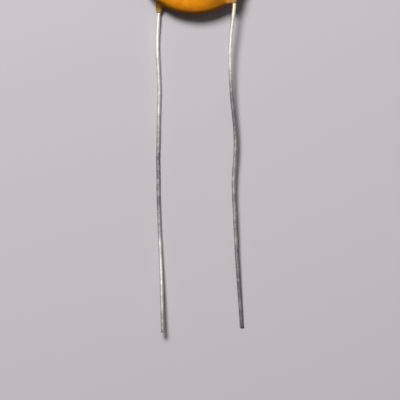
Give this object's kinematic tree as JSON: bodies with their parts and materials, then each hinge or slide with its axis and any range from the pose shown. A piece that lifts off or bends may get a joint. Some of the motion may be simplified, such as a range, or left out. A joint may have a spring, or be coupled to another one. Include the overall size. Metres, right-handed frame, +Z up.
{
  "type": "ceramic disc capacitor",
  "caption": "Round orange resin-dipped disc body lying flat, with a slightly domed face, coat run-downs at the rim, and long thin tinned wire leads with gentle hand-bent waves.",
  "frame": {"origin": "middle of the small flat on the underside of the body, on which the part lies", "axes": "+Z up from the surface it lies on, +Y from the leads towards the body, +X to the right as seen from above"},
  "size_m": [0.016, 0.0582, 0.0036],
  "materials": {
    "resin": "dipped and cured resin, glossy, faintly uneven",
    "ceramic": "pressed and fired, matt",
    "electrode_film": "fired silver-coloured film, matt",
    "solder": "soft solder, satin",
    "tinned_wire": "tinned, satin with dull stretches"
  },
  "bodies": {
    "root": {"resin_coating": "resin", "ceramic_disc": "ceramic", "front_electrode": "electrode_film", "back_electrode": "electrode_film", "front_solder": "solder", "back_solder": "solder", "left_lead": "tinned_wire", "right_lead": "tinned_wire"}
  },
  "joints": []
}
